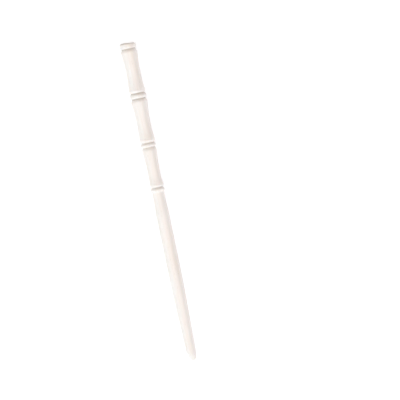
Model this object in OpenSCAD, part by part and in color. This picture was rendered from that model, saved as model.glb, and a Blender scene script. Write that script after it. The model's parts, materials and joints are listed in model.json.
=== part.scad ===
// Hair stick with bamboo joints, turned and carved from one piece of bone.
// It lies along X as it rests on a table, head end towards -X and tip towards +X.
// The origin is on the table, under the middle of the stick.

/* [Handle] */
// Length of the jointed handle, from the flat head end to the foot of the last ring
handle_l = 85.5; // [74:0.5:100]
// Diameter of the handle over its thickest ring
handle_d = 9.3; // [8.5:0.1:11]
// Length of the ring at the head end, as far as the bottom of its groove
head_ring_l = 3.65; // [2.8:0.05:5]
// Diameter of the ring at the head end
head_ring_d = 9; // [8.4:0.1:11]
// Rounding of the rim at the head end
head_round = 1.2; // [0.4:0.1:1.4]
// Radius of the head ring, where it rolls over into its groove
head_ring_round = 1.2; // [0.8:0.1:2.5]

/* [Joints] */
// Length of the ring at a joint, from one groove to the next
ring_l = 3.1; // [2.6:0.05:4]
// Depth of a groove, below the lowest lip or ring beside it
groove_depth = 0.6; // [0.35:0.05:0.8]
// Radius at the bottom of a groove
groove_round = 0.25; // [0.15:0.05:0.4]
// Radius of the lip at the upper end of an internode
upper_lip_round = 3; // [1.5:0.1:4]
// Radius of the lip at its lower end, which rolls over more sharply
lower_lip_round = 2; // [1.5:0.1:4]

/* [Shaft] */
// Length of the shaft, from the foot of the last ring to the point
shaft_l = 96; // [80:0.5:120]
// Diameter of the straight part of the shaft
shaft_d = 7.3; // [6.8:0.1:7.9]
// Depth of the neck behind the last ring, below the straight part
neck_depth = 0.3; // [0.1:0.05:0.5]
// Length of the neck, in which the shaft swells back to its full diameter
neck_l = 11.5; // [8:0.5:16]
// Radius of the shoulder where the neck runs into the straight part
shoulder_round = 12; // [5:1:30]
// Length of the straight part, a true cylinder
straight_l = 36; // [25:1:45]

/* [Tip] */
// Diameter where the taper ends and the rounding of the tip begins
tip_d = 5.2; // [4:0.1:5.8]
// Length of the rounded tip
tip_l = 7; // [4:0.5:10]
// Radius of the very point
point_round = 1.5; // [0.8:0.1:1.9]
// How far the taper bulges beyond a straight line
taper_swell = 0.18; // [0.02:0.02:0.26]

/* [Hidden] */

// Largest gap between the outline's steps and its true curves, and the steps round the axis
curve_gap = 0.004;
steps_round = 96;

// Internodes from the head down. A length is a share of what the rings leave of the handle.
// A diameter is a share of the step from the shaft's diameter up to the handle's.
LENGTH = 0;
UPPER_LIP = 1;
WAIST = 2;
LOWER_LIP = 3;
WAIST_PLACE = 4;
INTERNODES = [
    // length, upper lip, waist, lower lip, place of the waist along the internode
    [0.345, 0.97, 0.30, 0.94, 0.52],
    [0.344, 0.97, 0.20, 0.70, 0.57],
    [0.311, 0.50, -0.20, 0.25, 0.64],
];

// Rings below the internodes, from the head down. A length is a share of ring_l.
RING_LENGTH = 0;
RING_CREST = 1;
RINGS = [
    // length, crest
    [1.00, 1.00],
    [0.82, 0.72],
    [0.92, 0.35],
];

total_l = handle_l + shaft_l;
shaft_r = shaft_d / 2;
neck_r = shaft_r - neck_depth;
head_r = head_ring_d / 2;
tip_r = tip_d / 2;
last = len(RINGS) - 1;

// Places along the stick, measured from the head end
function sum(list, i = 0) = i < len(list) ? list[i] + sum(list, i + 1) : 0;
shares = sum([for (row = INTERNODES) row[LENGTH]]);
rings_l = ring_l * sum([for (row = RINGS) row[RING_LENGTH]]);
internodes_l = handle_l - head_ring_l - rings_l;
function internode_l(i) = internodes_l * INTERNODES[i][LENGTH] / shares;
function internode_from(i) = i == 0 ? head_ring_l : ring_to(i - 1);
function internode_to(i) = internode_from(i) + internode_l(i);
function ring_to(i) = internode_to(i) + ring_l * RINGS[i][RING_LENGTH];
function ring_middle(i) = (internode_to(i) + ring_to(i)) / 2;
function waist_at(i) = internode_from(i) + internode_l(i) * INTERNODES[i][WAIST_PLACE];
straight_from = handle_l + neck_l;
straight_to = straight_from + straight_l;
taper_to = total_l - tip_l;

// Radii of the crests and hollows
function handle_r(share) = (shaft_d + share * (handle_d - shaft_d)) / 2;
function internode_r(i, column) = handle_r(INTERNODES[i][column]);
function ring_r(i) = handle_r(RINGS[i][RING_CREST]);
function below_ring_r(i) = i == last ? ring_r(i) : internode_r(i + 1, UPPER_LIP);
function lowest_r(i) = min(internode_r(i, LOWER_LIP), ring_r(i), below_ring_r(i));
function groove_r(i) = lowest_r(i) - groove_depth;
head_groove_r = min(head_r, internode_r(0, UPPER_LIP)) - groove_depth;
function upper_groove_r(i) = i == 0 ? head_groove_r : groove_r(i - 1);
function ring_foot_r(i) = i == last ? neck_r : groove_r(i);

// Distance along the stick between a crest and a hollow whose rounds meet smoothly
function reach(step, rounds) = sqrt(step * (2 * rounds - step));
// Radius of the round that meets another one smoothly, for their step and distance
function meeting_round(step, distance, other) = (step ^ 2 + distance ^ 2) / (2 * step) - other;

// Crests and hollows of the outline, each as [radius, place]
head_reach = reach(head_r - head_groove_r, head_ring_round + groove_round);
head_crest = [head_r, head_ring_l - head_reach];
function upper_groove(i) = [upper_groove_r(i), internode_from(i)];
function lower_groove(i) = [groove_r(i), internode_to(i)];
function upper_lip(i) =
    let (r = internode_r(i, UPPER_LIP))
    [r, internode_from(i) + reach(r - upper_groove_r(i), upper_lip_round + groove_round)];
function lower_lip(i) =
    let (r = internode_r(i, LOWER_LIP))
    [r, internode_to(i) - reach(r - groove_r(i), lower_lip_round + groove_round)];
function waist(i) = [internode_r(i, WAIST), waist_at(i)];
function ring_crest(i) = [ring_r(i), ring_middle(i)];
function ring_foot(i) = [ring_foot_r(i), ring_to(i)];

// Arc of the outline about a centre, without its first point
function arc(centre, radius, from, to) =
    let (step = 2 * acos(1 - curve_gap / radius), steps = ceil(abs(to - from) / step))
    [for (k = [1:steps]) let (a = from + (to - from) * k / steps) centre + radius * [cos(a), sin(a)]];

// Direction from the centre of a crest's round to the centre of a hollow's round
function lean_of(crest, crest_round, hollow, hollow_round) =
    let (between = hollow + [hollow_round, 0] - crest + [crest_round, 0])
    atan2(between.y, between.x);

// Outline from a crest down to a hollow further along the stick
function fall(crest, crest_round, hollow, hollow_round) =
    let (a = lean_of(crest, crest_round, hollow, hollow_round))
    concat(
        arc(crest - [crest_round, 0], crest_round, 0, a),
        arc(hollow + [hollow_round, 0], hollow_round, 180 + a, 180)
    );

// Outline from a hollow up to a crest further along the stick
function climb(hollow, hollow_round, crest, crest_round) =
    let (a = lean_of(crest, crest_round, hollow, hollow_round))
    concat(
        arc(hollow + [hollow_round, 0], hollow_round, 180, 180 + a),
        arc(crest - [crest_round, 0], crest_round, a, 0)
    );

// Radius of the long hollow curve from a lip to the waist
function flare_round(lip, lip_round, waist) =
    meeting_round(lip.x - waist.x, abs(lip.y - waist.y), lip_round);

function head_ring() = concat(
    [[0, 0], [head_r - head_round, 0]],
    arc([head_r - head_round, head_round], head_round, -90, 0),
    [head_crest],
    fall(head_crest, head_ring_round, upper_groove(0), groove_round)
);

function internode(i) =
    let (
        upper = upper_lip(i),
        lower = lower_lip(i),
        middle = waist(i),
        upper_flare = flare_round(upper, upper_lip_round, middle),
        lower_flare = flare_round(lower, lower_lip_round, middle)
    )
    concat(
        climb(upper_groove(i), groove_round, upper, upper_lip_round),
        fall(upper, upper_lip_round, middle, upper_flare),
        climb(middle, lower_flare, lower, lower_lip_round),
        fall(lower, lower_lip_round, lower_groove(i), groove_round)
    );

function ring(i) =
    let (
        crest = ring_crest(i),
        foot = ring_foot(i),
        run = foot.y - crest.y,
        crest_round = meeting_round(crest.x - groove_r(i), run, groove_round)
    )
    concat(
        climb(lower_groove(i), groove_round, crest, crest_round),
        fall(crest, crest_round, foot, meeting_round(crest.x - foot.x, run, crest_round))
    );

function shaft() = concat(
    climb(
        [neck_r, handle_l], meeting_round(neck_depth, neck_l, shoulder_round),
        [shaft_r, straight_from], shoulder_round
    ),
    [[shaft_r, straight_to]]
);

// Taper on one long arc, whose chord runs from the straight part to the tip
taper_end = [tip_r, taper_to];
taper_chord = taper_end - [shaft_r, straight_to];
taper_round = (norm(taper_chord) ^ 2 / 4 + taper_swell ^ 2) / (2 * taper_swell);
half_turn = asin(norm(taper_chord) / 2 / taper_round);
chord_slope = atan2(-taper_chord.x, taper_chord.y);
tip_slope = chord_slope + half_turn;
tip_outward = [cos(tip_slope), sin(tip_slope)];

function taper() =
    arc(taper_end - taper_round * tip_outward, taper_round, chord_slope - half_turn, tip_slope);

// Tip on two rounds, a long one that runs on from the taper and a small one at the point
function tip() =
    let (
        point_centre = [0, total_l - point_round],
        run = point_centre.y - taper_to,
        spread = tip_r * tip_outward.x - run * tip_outward.y - point_round,
        long_round = (tip_r ^ 2 + run ^ 2 - point_round ^ 2) / (2 * spread),
        long_centre = taper_end - long_round * tip_outward,
        between = point_centre - long_centre,
        meeting = atan2(between.y, between.x)
    )
    concat(
        arc(long_centre, long_round, tip_slope, meeting),
        arc(point_centre, point_round, meeting, 90)
    );

// Half of the stick's section along its axis, as [radius, place]
outline = concat(
    head_ring(),
    [for (i = [0:last]) each concat(internode(i), ring(i))],
    shaft(),
    taper(),
    tip()
);

// At rest the stick leans on its thickest joint and on the far end of its straight part
crests = [for (i = [0:last]) each [upper_lip(i), lower_lip(i), ring_crest(i)]];
lean = atan(max([for (crest = crests) (crest.x - shaft_r) / (straight_to - crest.y)]));
head_height = shaft_r * cos(lean) + straight_to * sin(lean);
rim_reach = (head_r - head_round) * sin(lean);
point_reach = (total_l - point_round) * cos(lean) + point_round;
head_x = (rim_reach - point_reach) / 2;

module stick() {
    color("ivory")
        translate([head_x, 0, head_height])
            rotate([0, 90 + lean, 0])
                rotate_extrude($fn = steps_round)
                    polygon(outline);
}

stick();
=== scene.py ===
import json
import math

import bmesh
import bpy
from mathutils import Matrix, Vector, noise


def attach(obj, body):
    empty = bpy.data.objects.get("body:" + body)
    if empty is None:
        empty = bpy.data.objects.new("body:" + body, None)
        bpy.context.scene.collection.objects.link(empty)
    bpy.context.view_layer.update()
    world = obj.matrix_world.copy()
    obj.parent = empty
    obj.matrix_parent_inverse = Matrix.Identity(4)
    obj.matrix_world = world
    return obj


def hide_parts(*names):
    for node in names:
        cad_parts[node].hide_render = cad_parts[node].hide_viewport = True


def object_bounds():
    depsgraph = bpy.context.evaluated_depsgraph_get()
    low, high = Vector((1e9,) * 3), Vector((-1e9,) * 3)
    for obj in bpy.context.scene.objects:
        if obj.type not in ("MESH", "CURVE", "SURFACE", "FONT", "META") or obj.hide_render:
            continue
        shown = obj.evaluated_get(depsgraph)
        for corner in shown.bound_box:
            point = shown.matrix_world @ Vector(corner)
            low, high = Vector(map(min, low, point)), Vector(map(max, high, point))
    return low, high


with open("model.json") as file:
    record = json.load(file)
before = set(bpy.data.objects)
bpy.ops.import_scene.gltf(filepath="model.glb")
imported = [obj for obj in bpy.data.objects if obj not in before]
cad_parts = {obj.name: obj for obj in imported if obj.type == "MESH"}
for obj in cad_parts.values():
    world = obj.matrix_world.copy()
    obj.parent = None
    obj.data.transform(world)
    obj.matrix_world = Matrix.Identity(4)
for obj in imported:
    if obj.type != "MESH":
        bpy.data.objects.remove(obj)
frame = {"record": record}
cad_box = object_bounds()


# The hair stick: one strip of a leg bone's wall, turned between centres to the outline of three
# bamboo joints, grooved at each joint, finished by hand with file and abrasive, bleached and
# polished. Nothing is fitted to it, so it is one piece.
MM = 0.001

mounts = {mount["name"]: mount for mount in frame["record"]["mounts"]}
head_end = Vector(mounts["head_end"]["pos_m"])
to_tip = -Vector(mounts["head_end"]["axis"])
shaft_radius = mounts["straight_shaft"]["dims"]["r_mm"]

# Sizes in millimetres. Places are measured along the stick, from the head end towards the tip.
head_ring_length = 3.65
head_ring_diameter = 9.0
head_rim_round = 1.2
head_ring_round = 1.2
upper_lip_round = 3.0
lower_lip_round = 2.0
groove_depth = 0.6
groove_round = 0.25
neck_depth = 0.3
neck_length = 11.5
shoulder_round = 12.0
straight_length = 36.0
point_place = 181.5
tip_length = 7.0
tip_diameter = 5.2
point_round = 1.5
taper_swell = 0.18

# One internode to a row, from the head down, and the ring below it
internodes = [
    # length, upper lip diameter, waist diameter, waist place, lower lip diameter
    (25.31, 9.24, 7.90, 13.16, 9.18),
    (25.23, 9.24, 7.70, 14.38, 8.70),
    (22.82, 8.30, 6.90, 14.60, 7.80),
]
rings = [
    # length, crest diameter
    (3.10, 9.30),
    (2.54, 8.74),
    (2.85, 8.00),
]

# A fine line that the file left above each lower lip: how far it lies from the lip's groove, half
# its width, its depth, and how much it leans
line_to_groove = 2.2
line_half_width = 0.35
line_depth = 0.12
line_lean = 0.18

# The mesh: the longest step along the outline, the fewest steps in an arc, the rows of points on
# each side of a fine line and the step between them, and the faces round the stick
outline_step = 0.4
arc_steps = 5
line_rows = 10
line_row_step = 0.12
faces_round = 128


def draw_line(bm, last, radius, place):
    """Draws the outline on from its last point to another one, in even steps."""
    start = last.co.copy()
    end = Vector((radius, 0, place))
    steps = max(1, math.ceil((end - start).length / outline_step))
    for step in range(steps):
        last = bmesh.ops.extrude_vert_indiv(bm, verts=[last])["verts"][0]
        last.co = start.lerp(end, (step + 1) / steps)
    return last


def draw_arc(bm, last, centre, angle):
    """Draws the outline on by an arc about a centre, as with a compass."""
    radius = (last.co - centre).length
    steps = max(arc_steps, math.ceil(abs(angle) * radius / outline_step))
    swept = bmesh.ops.spin(
        bm, geom=[last], cent=centre, axis=(0, -1, 0), angle=angle, steps=steps
    )
    return swept["geom_last"][0]


def roll_down(bm, last, crest_round, hollow, hollow_round):
    """Draws two arcs that meet smoothly, from a crest down to a hollow nearer the tip."""
    crest_centre = last.co - Vector((crest_round, 0, 0))
    hollow_centre = Vector((hollow[0] + hollow_round, 0, hollow[1]))
    between = hollow_centre - crest_centre
    angle = math.atan2(between.z, between.x)
    last = draw_arc(bm, last, crest_centre, angle)
    return draw_arc(bm, last, hollow_centre, -angle)


def roll_up(bm, last, hollow_round, crest, crest_round):
    """Draws two arcs that meet smoothly, from a hollow up to a crest nearer the tip."""
    hollow_centre = last.co + Vector((hollow_round, 0, 0))
    crest_centre = Vector((crest[0] - crest_round, 0, crest[1]))
    between = hollow_centre - crest_centre
    angle = math.atan2(-between.z, between.x)
    last = draw_arc(bm, last, hollow_centre, -angle)
    return draw_arc(bm, last, crest_centre, angle)


def reach(step, rounds):
    """Distance along the stick in which two rounds that add up to this take a step in radius."""
    return math.sqrt(step * (2 * rounds - step))


def other_round(step, distance, known_round):
    """Radius of the round that meets a known one smoothly over this step and distance."""
    return (step ** 2 + distance ** 2) / (2 * step) - known_round


bm = bmesh.new()
last = bmesh.ops.create_vert(bm, co=(0, 0, 0))["vert"][0]
last = draw_line(bm, last, head_ring_diameter / 2 - head_rim_round, 0)
last = draw_arc(bm, last, last.co + Vector((0, 0, head_rim_round)), math.pi / 2)

groove_places = []
line_places = []
place = head_ring_length
groove_radius = min(head_ring_diameter, internodes[0][1]) / 2 - groove_depth
head_step = head_ring_diameter / 2 - groove_radius
crest_place = place - reach(head_step, head_ring_round + groove_round)
last = draw_line(bm, last, head_ring_diameter / 2, crest_place)
last = roll_down(bm, last, head_ring_round, (groove_radius, place), groove_round)

for index, (length, upper, waist, waist_place, lower) in enumerate(internodes):
    groove_places.append(place)
    ring_length, crest = rings[index]
    foot = place + length
    at_shaft = index == len(rings) - 1
    below_ring = crest if at_shaft else internodes[index + 1][1]
    lower_groove_radius = min(lower, crest, below_ring) / 2 - groove_depth

    # The internode: a lip, a long hollow with its waist, and a lip
    upper_reach = reach(upper / 2 - groove_radius, upper_lip_round + groove_round)
    lower_reach = reach(lower / 2 - lower_groove_radius, lower_lip_round + groove_round)
    upper_run = waist_place - upper_reach
    lower_run = length - waist_place - lower_reach
    upper_flare = other_round((upper - waist) / 2, upper_run, upper_lip_round)
    lower_flare = other_round((lower - waist) / 2, lower_run, lower_lip_round)
    last = roll_up(bm, last, groove_round, (upper / 2, place + upper_reach), upper_lip_round)
    last = roll_down(bm, last, upper_lip_round, (waist / 2, place + waist_place), upper_flare)
    last = roll_up(bm, last, lower_flare, (lower / 2, foot - lower_reach), lower_lip_round)
    last = roll_down(bm, last, lower_lip_round, (lower_groove_radius, foot), groove_round)
    groove_places.append(foot)
    line_places.append(foot - line_to_groove)

    # The ring below it, which at the last joint runs out into the shaft's neck
    run = ring_length / 2
    crest_round = other_round(crest / 2 - lower_groove_radius, run, groove_round)
    ring_foot_radius = shaft_radius - neck_depth if at_shaft else lower_groove_radius
    foot_round = other_round(crest / 2 - ring_foot_radius, run, crest_round)
    place = foot + ring_length
    last = roll_up(bm, last, groove_round, (crest / 2, foot + run), crest_round)
    last = roll_down(bm, last, crest_round, (ring_foot_radius, place), foot_round)
    groove_radius = lower_groove_radius

# The shaft: a neck, the straight part, the taper on one long arc, and the tip on two
neck_round = other_round(neck_depth, neck_length, shoulder_round)
straight_place = place + neck_length
last = roll_up(bm, last, neck_round, (shaft_radius, straight_place), shoulder_round)
last = draw_line(bm, last, shaft_radius, straight_place + straight_length)

taper_end = Vector((tip_diameter / 2, 0, point_place - tip_length))
chord = taper_end - last.co
taper_round = (chord.length ** 2 / 4 + taper_swell ** 2) / (2 * taper_swell)
half_turn = math.asin(chord.length / 2 / taper_round)
slope = math.atan2(-chord.x, chord.z)
outward = Vector((math.cos(slope - half_turn), 0, math.sin(slope - half_turn)))
last = draw_arc(bm, last, last.co - taper_round * outward, 2 * half_turn)

outward = Vector((math.cos(slope + half_turn), 0, math.sin(slope + half_turn)))
point_centre = Vector((0, 0, point_place - point_round))
to_end = last.co - point_centre
spread = to_end.dot(outward) - point_round
tip_round = (to_end.length_squared - point_round ** 2) / (2 * spread)
tip_centre = last.co - tip_round * outward
meeting = point_centre - tip_centre
meeting_angle = math.atan2(meeting.z, meeting.x)
last = draw_arc(bm, last, tip_centre, meeting_angle - slope - half_turn)
last = draw_arc(bm, last, point_centre, math.pi / 2 - meeting_angle)

# More points on the outline for the fine lines, which lean a little, and then one turn
for line in line_places:
    for row in range(-line_rows, line_rows + 1):
        bmesh.ops.bisect_plane(
            bm, geom=bm.verts[:] + bm.edges[:], dist=0.01,
            plane_co=(0, 0, line + line_row_step * row), plane_no=(0, 0, 1),
        )
bmesh.ops.spin(
    bm, geom=bm.verts[:] + bm.edges[:], cent=(0, 0, 0), axis=(0, 0, 1),
    angle=2 * math.pi, steps=faces_round, use_merge=True,
)
bmesh.ops.remove_doubles(bm, verts=bm.verts[:], dist=0.001)
bmesh.ops.recalc_face_normals(bm, faces=bm.faces[:])

# What the hand leaves: the head end sawn a little askew, with a small step where the two cuts
# met, grooves that wander and vary in depth, a body that isn't quite round, and a tip left full,
# with its point off the middle. What comes one to a groove goes from the head down.
askew = 0.35
saw_step = 0.2
saw_step_width = 0.4
askew_length = 2.2
wander = 0.10
wander_width = 1.6
depth_change = 0.10
extra_depths = (0.06, 0.16, 0.16, 0.0, 0.0, 0.04)
groove_half_width = 0.9
out_of_round = 0.035
point_off_middle = 0.4
point_off_length = 7.0
tip_fuller = 0.27
fullest_to_point = 2.8
fuller_length = 11.0
calm_radius = 2.0


def fade(distance, width):
    """One at no distance, falling smoothly to nothing at the width."""
    share = min(1.0, abs(distance) / width)
    return (1 - share ** 2) ** 2


def uneven(angle, place, seed, around=1.2, along=30.0):
    """Smooth unevenness from about -1 to 1, which closes round the stick."""
    spot = Vector((around * math.cos(angle), around * math.sin(angle), place / along + seed))
    return 1.6 * noise.noise(spot)


for vert in bm.verts:
    radius = math.hypot(vert.co.x, vert.co.y)
    place = vert.co.z
    angle = math.atan2(vert.co.y, vert.co.x)
    swell = out_of_round * uneven(angle, place, seed=11.0)
    shift = 0.0
    for number, groove in enumerate(groove_places):
        near = fade(place - groove, wander_width)
        shift += wander * near * uneven(angle, 0, seed=20.0 + 7.0 * number, around=0.9)
        cut = fade(place - groove, groove_half_width)
        change = depth_change * uneven(angle, 0, seed=60.0 + 5.0 * number)
        swell += cut * (change - extra_depths[number])
    for number, line in enumerate(line_places):
        apart = place - line + line_lean * vert.co.y
        cut_here = 0.6 + 0.4 * uneven(angle, 0, seed=90.0 + 6.0 * number, around=1.5)
        swell -= line_depth * cut_here * fade(apart, line_half_width)
    swell += tip_fuller * fade(point_place - place - fullest_to_point, fuller_length)
    # Both grow from none at one side of the head end to all at the other
    across = 0.5 - vert.co.y / head_ring_diameter
    beyond_step = 0.5 - 0.5 * math.tanh(vert.co.y / saw_step_width)
    shift += (askew * across + saw_step * beyond_step) * fade(place, askew_length)
    # The swelling fades out near the axis, so that the flat end and the point stay smooth
    if radius > 0.01:
        grown = 1 + swell * min(1.0, radius / calm_radius) / radius
        vert.co.x *= grown
        vert.co.y *= grown
    vert.co.y -= point_off_middle * fade(point_place - place, point_off_length)
    vert.co.z += shift

# Polish and dust that stay in the grooves, and painted shade: how dark each groove is made, partly
# for the polish and dust in it and partly as painted shade of its walls, and painted shade on the
# head end's rim and, less so, on the tip's point
hollow = bm.verts.layers.float.new("hollow")
groove_grime_and_shade_width = 0.55
groove_grime_and_shade_shares = (1.0, 1.2, 1.2, 0.4, 0.4, 0.5)
head_rim_shade_width = 1.3
head_rim_shade_share = 1.3
tip_shade_width = 3.5
tip_shade_share = 0.35
for vert in bm.verts:
    vert[hollow] = max(
        # Painted shade on the head end's rim, which faces away from the lamps
        head_rim_shade_share * fade(vert.co.z, head_rim_shade_width),
        # Painted shade on the tip's point, which the lamps beyond the tip would light brightly
        tip_shade_share * fade(point_place - vert.co.z, tip_shade_width),
    )
    # Each groove: partly polish and dust held in it, partly painted shade of its walls
    for groove, share in zip(groove_places, groove_grime_and_shade_shares):
        vert[hollow] = max(vert[hollow], share * fade(vert.co.z - groove, groove_grime_and_shade_width))

# From the lathe onto the table: the head end and the direction to the tip are the record's
up = to_tip.cross(Vector((0, 1, 0)))
place_on_table = Matrix((up, to_tip.cross(up), to_tip)).transposed().to_4x4()
bmesh.ops.scale(bm, vec=(MM, MM, MM), verts=bm.verts[:])
bmesh.ops.transform(
    bm, matrix=Matrix.Translation(head_end) @ place_on_table, verts=bm.verts[:]
)
mesh = bpy.data.meshes.new("turned_stick")
bm.to_mesh(mesh)
bm.free()
mesh.shade_smooth()
stick = bpy.data.objects.new("turned_stick", mesh)
bpy.context.scene.collection.objects.link(stick)


def colour(code):
    """The linear colour of an sRGB hex code."""
    parts = [int(code[i:i + 2], 16) / 255 for i in (1, 3, 5)]
    return (*[c / 12.92 if c <= 0.04045 else ((c + 0.055) / 1.055) ** 2.4 for c in parts], 1)


def add_node(tree, kind, inputs=None, **settings):
    """Adds a node with its settings, and sets its sockets or links them to other nodes' outputs."""
    node = tree.nodes.new(kind)
    for name, value in settings.items():
        setattr(node, name, value)
    for name, value in (inputs or {}).items():
        if isinstance(value, bpy.types.NodeSocket):
            tree.links.new(value, node.inputs[name])
        else:
            node.inputs[name].default_value = value
    return node


# Bleached compact bone, turned and polished: a warm white with a satin gloss. The eye finds soft
# yellower patches, faint streaks and short dark pores that all run along the stick, pores that
# show as dots on the end, shinier crests, and duller grooves where the polish stayed. The grooves
# are darker partly from that polish and partly from painted shade, and both ends carry painted
# shade.
bone = bpy.data.materials.new("bleached_polished_bone")
bone.use_nodes = True
tree = bone.node_tree

# The place on the stick in millimetres, with Z along it
object_place = add_node(tree, "ShaderNodeTexCoord").outputs["Object"]
grain = add_node(tree, "ShaderNodeMapping", {
    "Vector": object_place,
    "Location": head_end,
    "Rotation": place_on_table.to_euler(),
    "Scale": (MM, MM, MM),
}, vector_type="TEXTURE").outputs["Vector"]

pattern = {}
for name, width, length, layers in [
    # name, width across the stick, length along it, finer layers
    ("patches", 3.5, 22.0, 3),
    # Streaks are 0.1 to 0.2 mm wide in real bone, and drawn three times as wide, so that they show
    ("streaks", 0.45, 20.0, 2),
    # The marks of a 400 grit abrasive are 0.03 mm wide, and drawn at 0.3 mm
    ("lengthwise_marks", 0.3, 8.0, 1),
    ("turning_marks", 6.0, 0.4, 1),
    ("polish", 2.0, 5.0, 2),
]:
    cells = add_node(tree, "ShaderNodeMapping", {
        "Vector": grain,
        "Scale": (1 / width, 1 / width, 1 / length),
    }).outputs["Vector"]
    shade = add_node(tree, "ShaderNodeTexNoise", {
        "Vector": cells,
        "Scale": 1.0,
        "Detail": layers,
    }).outputs["Fac"]
    # The noise keeps near its middle, and this spreads it from 0 to 1
    pattern[name] = add_node(tree, "ShaderNodeMapRange", {
        "Value": shade,
        "From Min": 0.3,
        "From Max": 0.7,
    }).outputs["Result"]

# Pores: the bone's canals, 0.05 mm wide, drawn at 0.1 mm. Only some of the cells hold one.
pore_spacing = 0.5
pore_length = 4.0
pore_width = 0.1
pore_share = 0.35
cells = add_node(tree, "ShaderNodeMapping", {
    "Vector": grain,
    "Scale": (1 / pore_spacing, 1 / pore_spacing, 1 / pore_length),
}).outputs["Vector"]
canals = add_node(tree, "ShaderNodeTexVoronoi", {"Vector": cells, "Scale": 1.0})
canal = add_node(tree, "ShaderNodeMapRange", {
    "Value": canals.outputs["Distance"],
    "From Min": pore_width / pore_spacing,
    "From Max": 0.4 * pore_width / pore_spacing,
}).outputs["Result"]
cell_number = add_node(tree, "ShaderNodeSeparateColor", {
    "Color": canals.outputs["Color"],
}).outputs["Red"]
holds_one = add_node(tree, "ShaderNodeMath", {
    0: cell_number,
    1: pore_share,
}, operation="LESS_THAN").outputs["Value"]
pore = add_node(tree, "ShaderNodeMath", {
    0: canal,
    1: holds_one,
}, operation="MULTIPLY").outputs["Value"]
shade_and_grime = add_node(tree, "ShaderNodeAttribute", attribute_name="hollow").outputs["Fac"]

# The colour: each layer is mixed over the ones before it
cover = colour("#efebe6")
for where, most, code in [
    # where it lies, how much of it at most, and its colour
    (pattern["patches"], 0.7, "#ebe3d9"),
    (pattern["streaks"], 0.20, "#decfc2"),
    (pore, 0.35, "#a8927a"),
    # Partly grime in the grooves, and painted shade in the grooves and on both ends
    (shade_and_grime, 0.40, "#9e9581"),
]:
    amount = add_node(tree, "ShaderNodeMath", {0: where, 1: most}, operation="MULTIPLY")
    # Sockets 6 and 7 of this node are its two colours, and 2 is the mixed one
    cover = add_node(tree, "ShaderNodeMix", {
        0: amount.outputs["Value"],
        6: cover,
        7: colour(code),
    }, data_type="RGBA").outputs[2]

# The gloss: polished crests, duller patches, and the dullest in the grooves
roughness = 0.30
for where, duller in [(pattern["polish"], 0.08), (shade_and_grime, 0.16)]:
    roughness = add_node(tree, "ShaderNodeMath", {
        0: where,
        1: duller,
        2: roughness,
    }, operation="MULTIPLY_ADD").outputs["Value"]

# The relief in millimetres: abrasive marks along the stick, turning marks round it, and pores
relief = 0.0
for where, height in [
    (pattern["lengthwise_marks"], 0.012),
    (pattern["turning_marks"], 0.008),
    (pore, -0.03),
]:
    relief = add_node(tree, "ShaderNodeMath", {
        0: where,
        1: height,
        2: relief,
    }, operation="MULTIPLY_ADD").outputs["Value"]
normal = add_node(tree, "ShaderNodeBump", {"Height": relief, "Distance": MM}).outputs["Normal"]

shader = tree.nodes["Principled BSDF"]
shader.inputs["IOR"].default_value = 1.54
shader.inputs["Subsurface Weight"].default_value = 0.1
shader.inputs["Subsurface Radius"].default_value = (1.0, 0.7, 0.5)
shader.inputs["Subsurface Scale"].default_value = 0.5 * MM
tree.links.new(cover, shader.inputs["Base Color"])
tree.links.new(roughness, shader.inputs["Roughness"])
tree.links.new(normal, shader.inputs["Normal"])
mesh.materials.append(bone)

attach(stick, "root")
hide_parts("stick")


# The table: a sheet of matt white acrylic over faint lamps, larger than the view, which the stick
# lies on. It shows pure white, with no shadow, and lights the stick's underside a little.
table_width = 3.0
table_glow = 0.2

bm = bmesh.new()
bmesh.ops.create_grid(bm, x_segments=1, y_segments=1, size=table_width / 2)
mesh = bpy.data.meshes.new("white_table")
bm.to_mesh(mesh)
bm.free()
table = bpy.data.objects.new("white_table", mesh)
bpy.context.scene.collection.objects.link(table)
acrylic = bpy.data.materials.new("matt_white_acrylic")
acrylic.use_nodes = True
shader = acrylic.node_tree.nodes["Principled BSDF"]
shader.inputs["Base Color"].default_value = colour("#f8f8f8")
shader.inputs["Roughness"].default_value = 0.9
shader.inputs["Emission Color"].default_value = colour("#f3faff")
shader.inputs["Emission Strength"].default_value = table_glow
mesh.materials.append(acrylic)


# The studio: pale walls all round, and square soft boxes over the table. Most of the light comes
# from above and from beyond the tip, and the low lamps are a little cooler than the high ones.
wall_light = 0.3
softbox_width = 1.5
softbox_distance = 4.5

world = bpy.data.worlds.new("pale_studio")
bpy.context.scene.world = world
world.use_nodes = True
world.node_tree.nodes["Background"].inputs["Color"].default_value = colour("#ffffff")
world.node_tree.nodes["Background"].inputs["Strength"].default_value = wall_light

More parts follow.
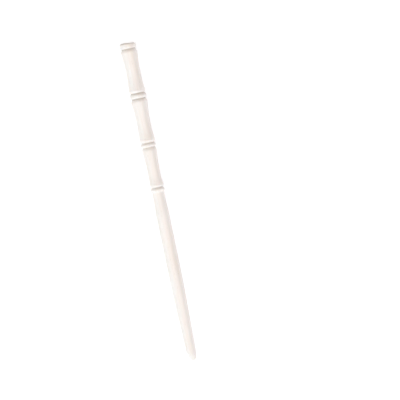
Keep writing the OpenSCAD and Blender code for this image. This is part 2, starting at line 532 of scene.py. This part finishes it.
middle = (cad_box[0] + cad_box[1]) / 2
for name, azimuth, elevation, power, tint in [
    # name, degrees from the tip's side towards +Y, degrees above the table, watts, colour
    ("overhead", 0, 90, 47.7, "#fff6f5"),
    ("left_high", -90, 60, 18, "#fff2e8"),
    ("right_high", 90, 60, 32.4, "#ffe4dc"),
    ("left", -90, 35, 46.8, "#f4feff"),
    ("beyond_tip", 0, 35, 57.6, "#f0feff"),
    ("low_beyond_tip_left", -45, 12, 47.7, "#d1e2ff"),
    ("low_beyond_tip_right", 45, 12, 53.1, "#dae9ff"),
]:
    lamp = bpy.data.lights.new(name, "AREA")
    lamp.size = softbox_width
    lamp.energy = power
    lamp.color = colour(tint)[:3]
    softbox = bpy.data.objects.new(name, lamp)
    bpy.context.scene.collection.objects.link(softbox)
    turn, rise = math.radians(azimuth), math.radians(elevation)
    towards = Vector((
        math.cos(turn) * math.cos(rise), math.sin(turn) * math.cos(rise), math.sin(rise)
    ))
    softbox.location = middle + softbox_distance * towards
    softbox.rotation_euler = towards.to_track_quat("Z", "Y").to_euler()
    softbox.visible_camera = False


# The camera: straight above the table, with a long lens, turned so that the stick leans across
# the picture as it does in the photograph, left of the middle. The scale is in millimetres to a
# pixel, and the middle of the stick is given in pixels from the picture's upper left corner.
picture_width = 400
photo_scale = 0.559
lean_in_picture = math.radians(11.716)
stick_middle = (160.05, 201.74)
lens = 250
sensor = 36

camera_data = bpy.data.cameras.new("camera")
camera_data.lens = lens
camera_data.sensor_width = sensor
camera_data.clip_start = 0.01
camera_data.clip_end = 20
camera = bpy.data.objects.new("camera", camera_data)
bpy.context.scene.collection.objects.link(camera)
roll = math.pi / 2 - lean_in_picture
right = Vector((math.cos(roll), math.sin(roll), 0))
picture_up = Vector((-math.sin(roll), math.cos(roll), 0))
off_right = (picture_width / 2 - stick_middle[0]) * photo_scale * MM
off_up = (stick_middle[1] - picture_width / 2) * photo_scale * MM
distance = picture_width * photo_scale * MM * lens / sensor
camera.location = middle + off_right * right + off_up * picture_up + Vector((0, 0, distance))
camera.rotation_euler = (0, 0, roll)
bpy.context.scene.camera = camera

bpy.context.scene.view_settings.view_transform = "Standard"
